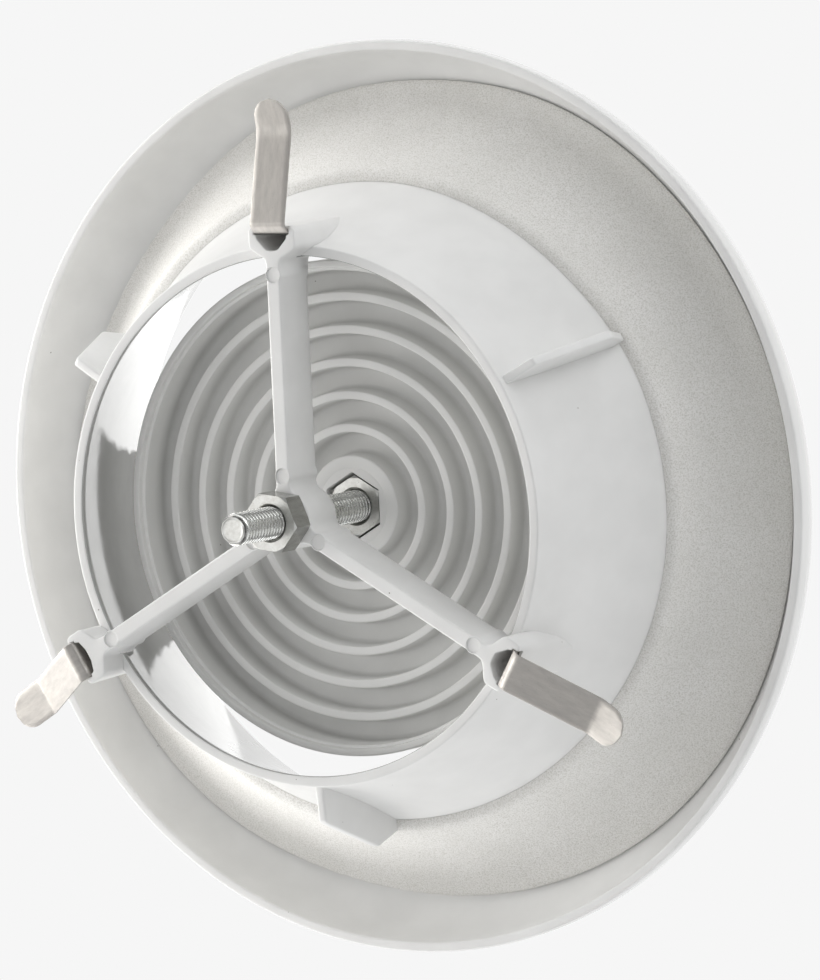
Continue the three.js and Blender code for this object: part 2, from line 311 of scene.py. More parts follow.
# Materials.
class Nodes:
    """A short way to write a material's node tree."""

    def __init__(self, name):
        self.material = bpy.data.materials.new(name)
        self.material.use_nodes = True
        self.tree = self.material.node_tree
        self.shader = self.tree.nodes["Principled BSDF"]
        self.place = self.add("ShaderNodeTexCoord")

    def add(self, kind, **values):
        node = self.tree.nodes.new(kind)
        for key, value in values.items():
            setattr(node, key, value)
        return node

    def link(self, source, target):
        self.tree.links.new(source, target)

    def set(self, **values):
        for key, value in values.items():
            self.shader.inputs[key.replace("_", " ")].default_value = value

    def millimetres(self, stretch=(1, 1, 1), output="Object"):
        """Coordinates in millimetres, stretched along each axis."""
        mapping = self.add("ShaderNodeMapping")
        mapping.inputs["Scale"].default_value = [s / MM for s in stretch]
        self.link(self.place.outputs[output], mapping.inputs["Vector"])
        return mapping.outputs["Vector"]

    def noise(self, size, detail=2.0, rough=0.5, stretch=(1, 1, 1), output="Object"):
        texture = self.add("ShaderNodeTexNoise")
        texture.inputs["Scale"].default_value = 1 / size
        texture.inputs["Detail"].default_value = detail
        texture.inputs["Roughness"].default_value = rough
        self.link(self.millimetres(stretch, output), texture.inputs["Vector"])
        return texture.outputs["Fac"]

    def cells(self, size):
        texture = self.add("ShaderNodeTexVoronoi")
        texture.inputs["Scale"].default_value = 1 / size
        self.link(self.millimetres(), texture.inputs["Vector"])
        return texture.outputs["Distance"]

    def ranged(self, value, low, high, to_low, to_high):
        node = self.add("ShaderNodeMapRange")
        node.inputs["From Min"].default_value = low
        node.inputs["From Max"].default_value = high
        node.inputs["To Min"].default_value = to_low
        node.inputs["To Max"].default_value = to_high
        self.link(value, node.inputs["Value"])
        return node.outputs["Result"]

    def mixed(self, factor, first, second):
        """A colour between two, by a factor. Each colour is a tuple or another node's output."""
        node = self.add("ShaderNodeMix", data_type="RGBA")
        self.link(factor, node.inputs["Factor"])
        for colour, socket in ((first, node.inputs[6]), (second, node.inputs[7])):
            if isinstance(colour, tuple):
                socket.default_value = (*colour, 1)
            else:
                self.link(colour, socket)
        return node.outputs[2]

    def bump(self, height, strength, distance, under=None):
        node = self.add("ShaderNodeBump")
        node.inputs["Strength"].default_value = strength
        node.inputs["Distance"].default_value = distance * MM
        self.link(height, node.inputs["Height"])
        if under:
            self.link(under, node.inputs["Normal"])
        return node.outputs["Normal"]


def plastic(name, colour, dark, roughness, grain, bump, soften=0.0, painted_light_heights=None):
    """White moulded plastic: a slight mottle, a fine grain and a few dark specks.

    Between the two given heights, the colour goes to a lighter one: painted light that makes the tops of ribs
    look lit against their grooves.
    """
    n = Nodes(name)
    mottle = n.noise(9.0, 3.0)
    tint = n.mixed(n.ranged(mottle, 0.35, 0.65, 0, 1), colour, dark)
    # Painted light: higher up, the colour goes lighter, so rib tops look lit and grooves shaded.
    if painted_light_heights:
        parts = n.add("ShaderNodeSeparateXYZ")
        n.link(n.millimetres(), parts.inputs["Vector"])
        tint = n.mixed(n.ranged(parts.outputs["Z"], *painted_light_heights, 0, 1), tint, (0.88, 0.88, 0.865))
    speck = n.ranged(n.cells(7.0), 0.016, 0.024, 1, 0)
    n.link(n.mixed(speck, tint, (0.30, 0.28, 0.25)), n.shader.inputs["Base Color"])
    n.link(n.ranged(n.noise(3.5, 4.0), 0.3, 0.7, *roughness), n.shader.inputs["Roughness"])
    under = None
    if soften:
        bevel = n.add("ShaderNodeBevel", samples=4)
        bevel.inputs["Radius"].default_value = soften * MM
        under = bevel.outputs["Normal"]
    n.link(n.bump(n.noise(grain, 3.0, 0.6), *bump, under), n.shader.inputs["Normal"])
    n.set(IOR=1.49)
    return n.material


def polished_plastic(name, colour, dark, index):
    """The room side of the moulding: glossy, with faint turning marks from the mould.

    A higher refractive index makes it more of a mirror.
    """
    n = Nodes(name)
    tint = n.mixed(n.ranged(n.noise(9.0, 3.0), 0.35, 0.65, 0, 1), colour, dark)
    n.link(tint, n.shader.inputs["Base Color"])
    n.link(n.ranged(n.noise(2.5, 4.0), 0.3, 0.7, 0.05, 0.12), n.shader.inputs["Roughness"])
    streaks = n.noise(0.9, 3.0, 0.6, stretch=(1, 1, 0.06))
    n.link(n.bump(streaks, 0.25, 0.03), n.shader.inputs["Normal"])
    n.set(IOR=index)
    return n.material


def foam_material():
    """Fine pale foam with open pores."""
    n = Nodes("foam")
    broad = n.ranged(n.noise(14.0, 3.0), 0.35, 0.65, 0, 1)
    base = n.mixed(broad, (0.88, 0.87, 0.85), (0.84, 0.83, 0.805))
    pores = n.ranged(n.noise(0.27, 3.0, 0.7), 0.34, 0.56, 0, 1)
    n.link(n.mixed(pores, (0.64, 0.63, 0.59), base), n.shader.inputs["Base Color"])
    n.set(Roughness=0.95, IOR=1.3)
    grain = n.bump(n.noise(0.24, 4.0, 0.7), 0.55, 0.12)
    n.link(n.bump(n.cells(0.4), 0.3, 0.08, grain), n.shader.inputs["Normal"])
    return n.material


def metal(name, colour, dull, roughness, size, stretch, output, bump, specks, painted_shade_radii=None):
    """Metal with a mottled finish, fine marks along one direction and a few dark specks.

    Between the two given radii, the metal goes from dark painted shade, as in a thread's roots, to its own
    colour.
    """
    n = Nodes(name)
    patches = n.ranged(n.noise(size, 4.0, 0.6, stretch, output), 0.35, 0.65, 0, 1)
    tint = n.mixed(patches, colour, dull)
    # Painted shade: near the axis, in the thread's roots, the colour goes dark.
    if painted_shade_radii:
        across = n.add("ShaderNodeVectorMath", operation="LENGTH")
        n.link(n.millimetres((1, 1, 0)), across.inputs[0])
        tint = n.mixed(n.ranged(across.outputs["Value"], *painted_shade_radii, 0, 1), (0.16, 0.155, 0.15), tint)
    speck = n.ranged(n.noise(0.28, 2.0, 0.5, (1, 1, 1), output), 0.30, 0.34, 1, 0)
    n.link(n.mixed(n.ranged(speck, 0, 1, 0, specks), tint, (0.20, 0.18, 0.16)), n.shader.inputs["Base Color"])
    n.link(n.ranged(n.noise(size * 0.5, 3.0, 0.6, stretch, output), 0.3, 0.7, *roughness),
           n.shader.inputs["Roughness"])
    n.set(Metallic=1.0)
    n.link(n.bump(n.noise(size * 0.25, 4.0, 0.7, stretch, output), *bump), n.shader.inputs["Normal"])
    return n.material


SATIN = plastic("satin_plastic", (0.84, 0.84, 0.83), (0.80, 0.80, 0.79), (0.30, 0.42), 0.5, (0.12, 0.02), 0.3)
GLOSS = polished_plastic("polished_plastic", (0.84, 0.84, 0.83), (0.81, 0.81, 0.80), 1.55)
# The bell is the white plastic in a greyer colour, which is painted shade, and with a higher index, so that
# it mirrors the table more clearly than white plastic would.
SHADED_BELL = polished_plastic("polished_bell_painted_shade", (0.46, 0.46, 0.45), (0.43, 0.43, 0.42), 2.1)
# The disc's ribs get painted light on their tops, from a lighter colour high up.
DISC = plastic("disc_plastic", (0.74, 0.74, 0.725), (0.70, 0.70, 0.685), (0.40, 0.52), 0.35, (0.2, 0.02),
               painted_light_heights=(13.0, 15.5))
FOAM = foam_material()
ZINC = metal("zinc_plate", (0.60, 0.605, 0.59), (0.51, 0.51, 0.49), (0.30, 0.42), 0.9, (1, 1, 1), "Object",
             (0.35, 0.03), 0.35)
# The nuts' flanks are a darker copy of the zinc: the darker colour is painted shade on their sides.
SHADED_FLANK = metal("zinc_flank_painted_shade", (0.44, 0.44, 0.42), (0.35, 0.35, 0.33), (0.14, 0.26), 1.2, (1, 1, 0.3), "Object",
              (0.25, 0.03), 0.3)
# The thread's roots get painted shade from the dark colour inside the given radii.
THREAD = metal("zinc_thread", (0.86, 0.87, 0.85), (0.76, 0.76, 0.73), (0.20, 0.32), 1.2, (1, 1, 1), "Object",
               (0.12, 0.02), 0.3, (2.40, 2.78))
SPRING = metal("spring_steel", (0.54, 0.52, 0.49), (0.46, 0.44, 0.42), (0.46, 0.60), 1.6, (1, 0.25, 1), "UV",
               (0.12, 0.02), 0.25)


# The moulded body.
def seat_curve(steps=28):
    """The flared seat of the foam ring, from the collar's cone to the bottom of the trough."""
    return cubic(SEAT, (60.9, 1), (63.4, TROUGH_Z), (NOSE_R, TROUGH_Z), steps)


def bell_curve():
    """The bell mouth from the nose up to the collar's rim."""
    nose = cubic((NOSE_R, NOSE_Z), (63, NOSE_Z), (61.6, -11.5), MOUTH, 30)
    cone = quadratic(MOUTH, (50.9, 18), (RIM_R - WALL, RIM_Z - EDGE), 24)
    return nose + cone[1:]


def flange_wall():
    """The flange's inner wall, from the bottom of the trough to the lip."""
    return cubic((NOSE_R, TROUGH_Z), (78.5, TROUGH_Z), (81.6, -6), (LIP_R - LIP_WIDTH, -0.6))


def shell():
    """The turned part of the moulding: collar, cone, flange and bell mouth."""
    inner_r = LIP_R - LIP_WIDTH
    rim_corners = [
        (RIM_R - WALL, RIM_Z - 2, 0), (RIM_R - WALL, RIM_Z, EDGE), (RIM_R, RIM_Z, EDGE),
        (RIM_R + 0.25, RIM_Z - 1.5, 0),
    ]
    rim = filleted(rim_corners, closed=False)[1:-1]
    cone = quadratic((RIM_R, RIM_Z - EDGE), (52.3, 21.2), SEAT, 24)
    lip_corners = [(inner_r, -0.6, 0), (inner_r + 0.1, 0, 0.35), (LIP_R, 0, 0.5), (LIP_R, -2.4, 0)]
    lip = filleted(lip_corners, closed=False)[1:]
    outer = cubic((LIP_R, -2.4), (83, -7), (79.5, NOSE_Z), (NOSE_R, NOSE_Z))
    duct_side = rim + cone[1:] + seat_curve()[1:] + flange_wall()[1:]
    return turned("body_moulding", duct_side + lip + outer[1:] + bell_curve()[1:-1])


def spider_outline():
    """Hub and spokes seen along the axis, with fillets between them. Spokes end inside their pockets."""
    reach = HUB_R + SPOKE_FILLET
    out = math.sqrt(reach ** 2 - (SPOKE_HALF + SPOKE_FILLET) ** 2)
    touch = math.atan2(SPOKE_HALF + SPOKE_FILLET, out)
    points = []
    for i in range(SPOKES):
        turn = TURN * i / SPOKES
        side = [(RIM_R - 1.5, -SPOKE_HALF), (RIM_R - 1.5, SPOKE_HALF)]
        for k in range(7):
            a = -math.pi / 2 - (math.pi / 2 - touch) * k / 6
            side.append((out + SPOKE_FILLET * math.cos(a), SPOKE_HALF + SPOKE_FILLET * (1 + math.sin(a))))
        for k in range(1, 8):
            a = touch + (TURN / SPOKES - 2 * touch) * k / 8
            side.append((HUB_R * math.cos(a), HUB_R * math.sin(a)))
        for k in range(7):
            a = touch + (math.pi / 2 - touch) * k / 6
            x = out + SPOKE_FILLET * math.cos(math.pi + a)
            y = -(SPOKE_HALF + SPOKE_FILLET) + SPOKE_FILLET * math.sin(a)
            c, s = math.cos(TURN / SPOKES), math.sin(TURN / SPOKES)
            side.append((x * c - y * s, x * s + y * c))
        c, s = math.cos(turn), math.sin(turn)
        points += [(x * c - y * s, x * s + y * c) for x, y in side]
    return points


def spider():
    """The hub and the three spokes. The spokes have draft and a small step along their lower edge."""
    bottom = HUB_TOP - SPOKE_DEPTH
    foot = DRAFT * SPOKE_DEPTH
    levels = [(bottom + up, foot - inset) for up, inset in ((0, 0.45), (0.12, 0.28), (0.9, 0.14), (1.05, 0))]
    levels += rounding(HUB_TOP, EDGE, 1)
    piece = stacked("spider", spider_outline(), levels, math.pi / 2)
    for i in range(SPOKES):
        for place in PIN_PLACES:
            pad = ring_points(PAD_R, 32, (place, 0))
            pad_levels = [(bottom + 0.4, DRAFT * (SPOKE_DEPTH - 0.4))] + rounding(HUB_TOP, 0.25, 1)
            union(piece, stacked("pad", pad, pad_levels, spoke_angle(i)))
    return piece


def spoke_angle(i):
    return math.pi / 2 - TURN * i / SPOKES


POCKET_OUTLINE = [  # (x, y, fillet), out from the spoke's end and back
    (44.6, -1.33, 0), (47.0, -1.5, 1.6), (49.0, -POCKET_HALF, 1.5), (POCKET_R, -POCKET_HALF, 1.1),
    (POCKET_R, POCKET_HALF, 1.1), (49.0, POCKET_HALF, 1.5), (47.0, 1.5, 1.6), (44.6, 1.33, 0),
]
POCKET_FOOT = 14.5
POCKET_ROUNDING = 0.42  # share of its width that the pocket's outer face loses on the way down
POCKET_ROUNDING_DEPTH = 17.0


def faired(section, z):
    """The pocket's outer corners grow rounder on the way down, so that they die out in the cone."""
    depth = min((HUB_TOP - z) / POCKET_ROUNDING_DEPTH, 1)
    share = np.clip((section[:, 0] - 49.2) / (POCKET_R - 49.2), 0, 1)
    section[:, 1] *= 1 - POCKET_ROUNDING * depth * share ** 2
    return section


def pocket(i):
    angle = spoke_angle(i)
    outline = filleted(POCKET_OUTLINE)
    lows = [POCKET_FOOT + k * 1.5 for k in range(8)]
    levels = [(z, DRAFT * 0.5 * (HUB_TOP - z)) for z in lows + [30, 35]] + rounding(HUB_TOP, EDGE, 1)
    return stacked("pocket", outline, levels, angle, faired)


def pocket_cuts(i):
    """The slot, the half-round hollow behind it and the step down of the pocket's outer wall."""
    angle = spoke_angle(i)
    flare = 0.22
    lips = [(HUB_TOP - flare, 0), (HUB_TOP - 0.06, 0.07), (HUB_TOP + 0.5, flare)]
    deep = HOLLOW_R[i]
    bend = 0.75 * (50.7 - deep)
    hollow = filleted([
        (SLOT_R + 0.1, -3.4, 0), (50.7, -3.0, 0.45 * bend), (deep, -1.1, bend), (deep, 1.1, bend),
        (50.7, 3.0, 0.45 * bend), (SLOT_R + 0.1, 3.4, 0),
    ])
    slot = filleted([
        (SLOT_R - SLOT_GAP / 2, -SLOT_HALF, 0.2), (SLOT_R + SLOT_GAP / 2, -SLOT_HALF, 0.2),
        (SLOT_R + SLOT_GAP / 2, SLOT_HALF, 0.2), (SLOT_R - SLOT_GAP / 2, SLOT_HALF, 0.2),
    ], 3)
    step = filleted([
        (SLOT_R, -SLOT_HALF + 0.1, 0), (POCKET_R + 1, -SLOT_HALF - 0.5, 0),
        (POCKET_R + 1, SLOT_HALF + 0.5, 0), (SLOT_R, SLOT_HALF - 0.1, 0),
    ])
    return [
        stacked("hollow", hollow, [(30.0, -0.1), (HUB_TOP - flare, 0)] + lips[1:], angle),
        stacked("slot", slot, [(SLOT_BOTTOM, 0)] + lips[:1] + [(HUB_TOP + 0.5, flare)], angle),
        stacked("step", step, [(POCKET_LIP, -0.15), (POCKET_LIP + 0.3, 0), (HUB_TOP + 0.5, 0)], angle),
    ]


def fin(i):
    """A fin on the cone, midway between two spokes, that centres the collar in the duct."""
    outline = filleted([
        (48.3, 32.9, 0), (56.0, 31.9, 1.2), (62.6, 14, 1.4), (60.4, 6.6, 0), (57.2, 7.8, 0), (54.4, 16, 0),
        (51.2, 24, 0), (48.6, 31, 0),
    ])
    half = FIN_THICKNESS / 2
    piece = stacked("fin", outline, rounding(-half, 0.4, -1) + rounding(half, 0.4, 1))
    piece.data.transform(Matrix.Rotation(math.pi / 2, 4, "X"))
    piece.data.transform(Matrix.Rotation(spoke_angle(i) - math.pi / SPOKES, 4, "Z"))
    return piece


def air_space():
    """The room inside the collar, which the pockets' feet don't enter."""
    inset = 0.25
    wall = [(r + inset, z) for r, z in bell_curve()]
    top = [(RIM_R - WALL + inset, 30.5), (0, 30.5)]
    return turned("air", [(0, NOSE_Z - 1), (NOSE_R, NOSE_Z - 1)] + wall[:-1] + top)


def body_moulding():
    piece = shell()
    pockets = pocket(0)
    union(pockets, pocket(1), pocket(2))
    cut(pockets, air_space())
    union(piece, pockets)
    for i in range(SPOKES):
        union(piece, fin(i))
    union(piece, spider())
    for i in range(SPOKES):
        cut(piece, *pocket_cuts(i))
        for place in PIN_PLACES:
            mark = ring_points(PIN_R, 32, (place, 0))
            levels = [(HUB_TOP - PIN_DEPTH, -0.05), (HUB_TOP - 0.08, 0), (HUB_TOP + 1, 0.08)]
            cut(piece, stacked("mark", mark, levels, spoke_angle(i)))
    bottom = HUB_TOP - HUB_LENGTH
    cut(piece, stacked("recess", ring_points(HUB_R - 0.15, 64), [(bottom - 5, 0), (bottom, 0)]))
    bore = ring_points(BORE_R, 64)
    cut(piece, stacked("bore", bore, [(bottom - 5, 0), (HUB_TOP - 0.3, 0), (HUB_TOP + 0.3, 0.6)]))
    materials_by_side(piece.data)
    return piece


def materials_by_side(mesh):
    """Material 2 on the bell mouth, 1 on the nose and the outside of the flange, and 0 on the duct side."""
    curve = np.array(bell_curve())
    for face in mesh.polygons:
        x, y, z = face.center / MM
        r = math.hypot(x, y)
        away = (face.normal.x * x + face.normal.y * y) / max(r, 1e-6)
        bell_r = np.interp(z, curve[:, 1], curve[:, 0])
        on_bell = z < RIM_Z - 0.1 and RIM_R - WALL - 0.2 < r < bell_r + 0.4 and away < 0.05
        outside = r > NOSE_R and z < -0.4 and (away > 0.1 or face.normal.z < -0.1)
        if on_bell and z > MOUTH[1]:
            face.material_index = 2
        else:
            face.material_index = int(on_bell or outside or z < NOSE_Z + 0.5)


body_piece = body_moulding()
finished(body_piece, "body", ["valve_body"], [SATIN, GLOSS, SHADED_BELL])


# The foam ring. It is cut and glued by hand, so both its edges wander round the ring.
FOAM_GAP = 0.3
FOAM_STEPS = 900
FOAM_THICKNESS = 2.0
FOAM_START = [  # (degrees round the axis, distance of the upper edge down the seat)
    (0, 3.4), (15, 3.0), (28, 2.9), (40, 1.2), (52, 0.8), (65, 0.9), (78, 1.5), (90, 1.9), (102, 1.0),
    (130, 0.7), (180, 0.7), (230, 0.7), (270, 1.0), (285, 1.1), (300, 1.7), (315, 2.3), (330, 3.1),
    (345, 3.4),
]
FOAM_RADIUS = [  # (degrees round the axis, radius of the outer edge)
    (0, 77.0), (30, 77.0), (45, 77.4), (60, 77.9), (68, 77.8), (76, 77.0), (86, 76.0), (100, 75.6),
    (114, 75.1), (125, 74.1), (135, 73.1), (145, 73.5), (155, 74.1), (168, 75.4), (190, 77.0), (215, 77.4),
    (230, 76.8), (240, 75.7), (250, 74.6), (260, 74.1), (270, 74.5), (285, 75.2), (300, 76.1), (315, 76.9),
    (335, 77.2),
]


def round_trip(table, angle):
    """A smooth value round the axis, from (degrees, value) pairs."""
    degrees, values = np.array(table).T
    degrees = np.concatenate([degrees - 360, degrees, degrees + 360])
    near = np.array([-8, -4, 0, 4, 8])
    return float(np.interp(math.degrees(angle) + near, degrees, np.tile(values, 3)).mean())


def foam_section(angle, bed, runs, out):
    """The ring's section at one angle: along its bed on the moulding, and back over its face."""
    start = round_trip(FOAM_START, angle)
    radius = round_trip(FOAM_RADIUS, angle)
    end = np.interp(radius, bed[:, 0], runs)
    along = np.linspace(start, end, 21)

    def at(run, height):
        return tuple(
            np.interp(run, runs, bed[:, i]) + np.interp(run, runs, out[:, i]) * height for i in (0, 1))

    gaps = np.clip((along - start) * 0.4, 0.04, FOAM_GAP)
    under = [at(run, gap) for run, gap in zip(along, gaps)]
    rim = at(end, FOAM_THICKNESS)
    inner = at(start + 1.5, FOAM_THICKNESS)
    face = cubic(rim, (rim[0] - 5.4, rim[1] + 3.2), (inner[0] + 2.9, inner[1] - 6.2), inner, 46)
    side = quadratic(under[-1], (under[-1][0] + 0.5, rim[1] - 0.9), rim, 5)
    shoulder = quadratic(inner, at(start + 0.25, FOAM_THICKNESS * 0.85), under[0], 9)
    return under + side[1:] + face[1:] + shoulder[1:-1]


def foam_ring():
    """The ring, laid round on its bed, with a grainy face and ragged edges."""
    bed = np.array(seat_curve(60) + flange_wall()[1:])
    steps = np.linalg.norm(np.diff(bed, axis=0), axis=1)
    runs = np.concatenate([[0], np.cumsum(steps)])
    ahead = np.gradient(bed, axis=0)
    ahead /= np.linalg.norm(ahead, axis=1)[:, None]
    out = np.stack([-ahead[:, 1], ahead[:, 0]], 1)
    points = []
    for k in range(FOAM_STEPS):
        angle = TURN * k / FOAM_STEPS
        section = foam_section(angle, bed, runs, out)
        rim_r = max(r for r, z in section)
        for r, z in section:
            p = Vector((r * math.cos(angle), r * math.sin(angle), z))
            rise = min(max((z - np.interp(r, bed[:, 0], bed[:, 1]) - 0.5) / 1.5, 0), 1)
            grain = noise.noise(p * 1.9) * 0.05 + noise.noise(p * 0.35) * 0.12
            ragged = noise.noise(Vector((p.x * 0.5, p.y * 0.5, 3.0))) * 0.2 + noise.noise(p * 1.2) * 0.12
            edge = math.exp(-((r - rim_r) / 1.2) ** 2) + math.exp(-((r - section[-1][0]) / 1.5) ** 2)
            scale = 1 + ragged * min(edge, 1) * rise / r
            points.append((p.x * scale, p.y * scale, z + grain * rise))
    count = len(points) // FOAM_STEPS
    faces = []
    for k in range(FOAM_STEPS):
        here, there = k * count, (k + 1) % FOAM_STEPS * count
        for j in range(count):
            n = (j + 1) % count
            faces.append([here + j, here + n, there + n, there + j])
    return outward(made("seal_ring", points, faces))


seal = foam_ring()
finished(seal, "body", ["foam_seal_ring"], [FOAM], 80)


# The centre disc.
def disc_profile():
    """The disc's section: its front, its raised rim, the ring ribs and the boss."""
    path = quadratic((0, DISC_FRONT), (26, DISC_FRONT), (DISC_R - 3, DISC_FRONT + 1.6), 20)
    path += quadratic(path[-1], (DISC_R, DISC_FRONT + 1.9), (DISC_R, DISC_FRONT + 5.2), 10)[1:]
    corners = [
        (DISC_R, DISC_FRONT + 6, 0), (DISC_R, DISC_TOP, 0.35), (44.0, DISC_TOP, 0.3), (43.9, 18.6, 0.15),
        (43.35, 18.5, 0.25), (43.1, FLOOR_Z, 0.9),
    ]
    for i in reversed(range(RIB_COUNT)):
        outer = RIB_FIRST_R + i * RIB_PITCH
        corners += [
            (outer + 0.35, FLOOR_Z, 0.7), (outer, RIB_TOP, 0.28), (outer - RIB_WIDTH, RIB_TOP, 0.28),
            (outer - RIB_WIDTH - 0.35, FLOOR_Z, 0.7),
        ]
    corners += [(BOSS_R + 0.35, FLOOR_Z, 0.7), (BOSS_R, RIB_TOP, 0.35)]
    corners += [(7.25, RIB_TOP, 0), (7.1, RIB_TOP - 0.06, 0), (6.95, RIB_TOP, 0), (0, RIB_TOP, 0)]
    return path + filleted(corners, 4, closed=False)


def hexagon(flats, turn, corner):
    r = flats / math.sqrt(3)
    return filleted(
        [(r * math.cos(turn + TURN * k / 6), r * math.sin(turn + TURN * k / 6), corner) for k in range(6)], 3)


POCKET_TURN = math.pi / 6  # a corner points along each spoke
LOCK_NUT_TURN = math.radians(-8)


def disc_moulding():
    piece = turned("disc_moulding", disc_profile())
    levels = [(pocket_nut_low.z - 0.1, 0), (RIB_TOP - 0.15, 0.02), (RIB_TOP + 0.5, 0.35)]
    return cut(piece, stacked("nut_pocket", hexagon(NUT_POCKET_FLATS, POCKET_TURN, 0.3), levels))


finished(disc_moulding(), "disc", ["centre_disc"], [DISC])


# Fasteners.
def nut(name, low, high, turn):
    """A hexagonal nut with chamfered corners and a countersunk bore. Its flanks have material 1, the zinc
    darkened as painted shade.
    """
    bottom, top = low.z, high.z
    rim = NUT_FLATS / 2 + 0.2
    corner = NUT_FLATS / math.sqrt(3)
    drop = (corner - rim) * math.tan(NUT_BEVEL)
    body = stacked(name, hexagon(NUT_FLATS, turn, 0.2), [(bottom, 0), (top, 0)])
    blank = [
        (0, bottom), (rim, bottom), (corner + 0.1, bottom + drop), (corner + 0.1, top - drop), (rim, top),
        (0, top),
    ]
    combine(body, turned("blank", blank, 144), "INTERSECT")
    bore_r = BORE_R - 0.02
    bore = [
        (0, bottom - 1), (3.6, bottom - 1), (3.6, bottom), (bore_r, bottom + 0.5), (bore_r, top - 0.5),
        (3.55, top), (3.6, top + 1), (0, top + 1),
    ]
    cut(body, turned("bore", bore, 96))
    for face in body.data.polygons:
        out = math.hypot(face.center.x, face.center.y) / MM
        face.material_index = int(abs(face.normal.z) < 0.3 and out > NUT_FLATS / 2 - 0.3)
    return body


def stud():
    """The threaded stud: a right-hand helical thread cut on a rod, with a chamfer at each end.

    Its upper end is slightly dished and has material 1.
    """
    sides, per_pitch = 56, 11
    bottom, top = stud_low.z, stud_high.z
    rings = int((top - bottom) / THREAD_PITCH * per_pitch)
    end_r, end_length = 2.3, 1.1
    dish = 0.07
    points = [(0, 0, bottom)]
    for j in range(rings + 1):
        z = bottom + (top - bottom) * j / rings
        chamfer = end_r + (STUD_R - end_r) * min(min(z - bottom, top - z) / end_length, 1)
        for k in range(sides):
            phase = ((z - bottom) / THREAD_PITCH - k / sides) % 1
            away = abs(phase - 0.5) * 2
            fall = min(max((away - 0.18) / 0.62, 0), 1)
            r = min(STUD_R - THREAD_DEPTH * fall * fall * (3 - 2 * fall), chamfer)
            r += noise.noise(Vector((k * 0.6, z * 1.3, 7.0))) * 0.01 - 0.02
            points.append((r * math.cos(TURN * k / sides), r * math.sin(TURN * k / sides), z))
    for r, drop in ((2.12, 0.0), (1.98, 0.06), (1.9, dish), (0.8, dish)):
        points += ring_at(r, sides, top - drop)
        rings += 1
    points.append((0, 0, top - dish))
    last = len(points) - 1
    faces = []
    for k in range(sides):
        n = (k + 1) % sides
        faces.append([0, 1 + n, 1 + k])
        faces.append([last, last - sides + k, last - sides + n])
        for j in range(rings):
            a, b = 1 + j * sides, 1 + (j + 1) * sides
            faces.append([a + k, a + n, b + n, b + k])
    rod = outward(made("threaded_rod", points, faces))
    for face in rod.data.polygons:
        face.material_index = int(face.center.z / MM > top - 0.25)
    return rod


disc_nut = nut("disc_nut", pocket_nut_low, pocket_nut_high, POCKET_TURN)
finished(disc_nut, "disc", ["pocket_nut"], [ZINC, SHADED_FLANK], 20)
hub_lock_nut = nut("hub_lock_nut", lock_low, lock_high, LOCK_NUT_TURN)
finished(hub_lock_nut, "lock_nut", ["lock_nut"], [ZINC, SHADED_FLANK], 20)
finished(stud(), "stud", ["threaded_stud"], [THREAD, ZINC], 50)


# Spring clips, made along +X and turned to their pockets.
# They are bent by hand, so each has its own set, tip length and bend.
CLIP_ROOT = (1.35, 1.15)  # from the flexing line to the next bend
CLIP_LEAF = 17.2
CLIP_TIPS = (6.0, 6.8, 8.4)
CLIP_TIP_BENDS = (7.0, 3.0, 2.2)  # radii of the bends before the tips
CLIP_DROP = math.radians(13.5)
CLIP_RISE = math.radians(14.5)
CLIP_SET = [math.radians(a) for a in (0, 4, 21)]


def clip_path(set_down, tip_length, tip_bend):
    """The strip's middle line as (radius, height) points from the foot to the tip."""
    hinge = Vector((SLOT_R, frame_hinge_z()))
    first = hinge + Vector(CLIP_ROOT)
    second = first + Vector((math.cos(CLIP_DROP), -math.sin(CLIP_DROP))) * CLIP_LEAF
    tip = second + Vector((math.cos(CLIP_RISE), math.sin(CLIP_RISE))) * tip_length
    down = Matrix.Rotation(-set_down, 2)
    first, second, tip = (hinge + down @ (p - hinge) for p in (first, second, tip))
    corners = [
        (SLOT_R, foot_low.z, 0), (hinge.x, hinge.y - 0.15, 0.9), (*first, 1.0), (*second, tip_bend),
        (*tip, 0),
    ]
    return filleted(corners, 8, closed=False)


def frame_hinge_z():
    joint = next(j for j in frame["record"]["behaviour"]["joints"] if j["name"] == "clip_1_flex")
    return joint["pos_m"][2] / MM


def spaced(path, widest):
    """The path with no step longer than widest."""
    points = [Vector(path[0])]
    for p in path[1:]:
        start, end = points[-1].copy(), Vector(p)
        pieces = max(1, math.ceil((end - start).length / widest))
        points += [start.lerp(end, k / pieces) for k in range(1, pieces + 1)]
    return points


